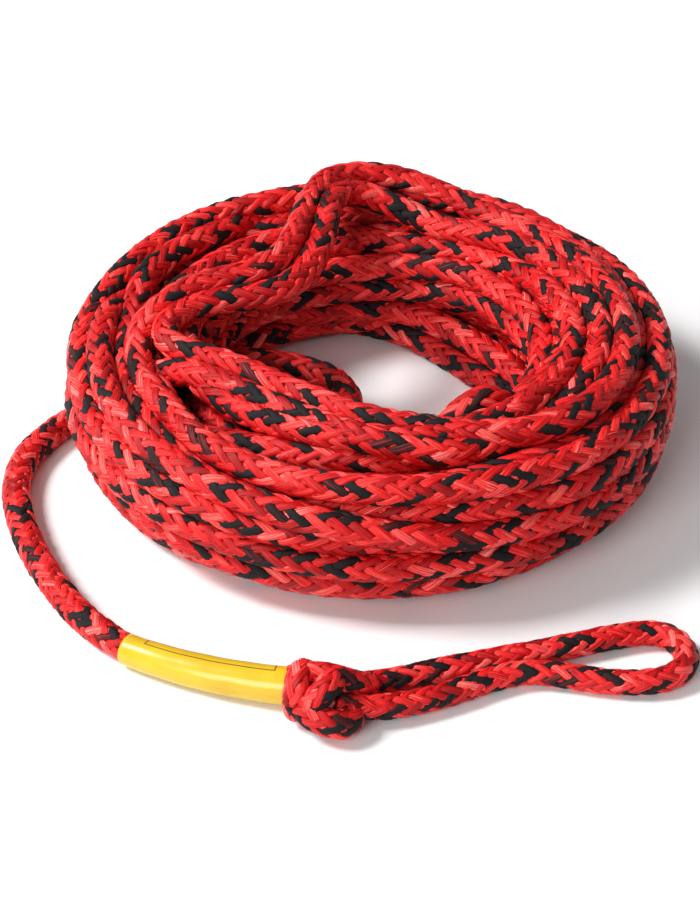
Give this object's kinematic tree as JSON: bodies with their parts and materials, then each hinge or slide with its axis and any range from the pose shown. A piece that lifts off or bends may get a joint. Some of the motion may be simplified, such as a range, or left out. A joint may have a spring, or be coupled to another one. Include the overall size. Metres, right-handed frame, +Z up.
{
  "type": "tube tow rope",
  "caption": "Braided tow rope in a round coil, with a knotted tow eye on a free lead and a plastic label sleeve over its splice.",
  "frame": {"origin": "centre of the coil, on the floor that the coil lies on", "axes": "+Z up, along the coil's axis; -Y towards the tow eye; -X towards the side where the free lead leaves the coil"},
  "size_m": [0.2709, 0.3136, 0.076],
  "materials": {
    "rope_braid": "red polyethylene hollow braid with black tracer flecks, half gloss",
    "sleeve_plastic": "smooth glossy yellow shrink sleeve"
  },
  "bodies": {
    "root": {"main_coil": "rope_braid", "coil_top_turn": "rope_braid", "coil_inner_turn": "rope_braid", "coil_inner_bight": "rope_braid", "lead_rope": "rope_braid", "splice_tail": "rope_braid", "eye_knot": "rope_braid", "eye_loop": "rope_braid", "label_sleeve": "sleeve_plastic"}
  },
  "joints": []
}
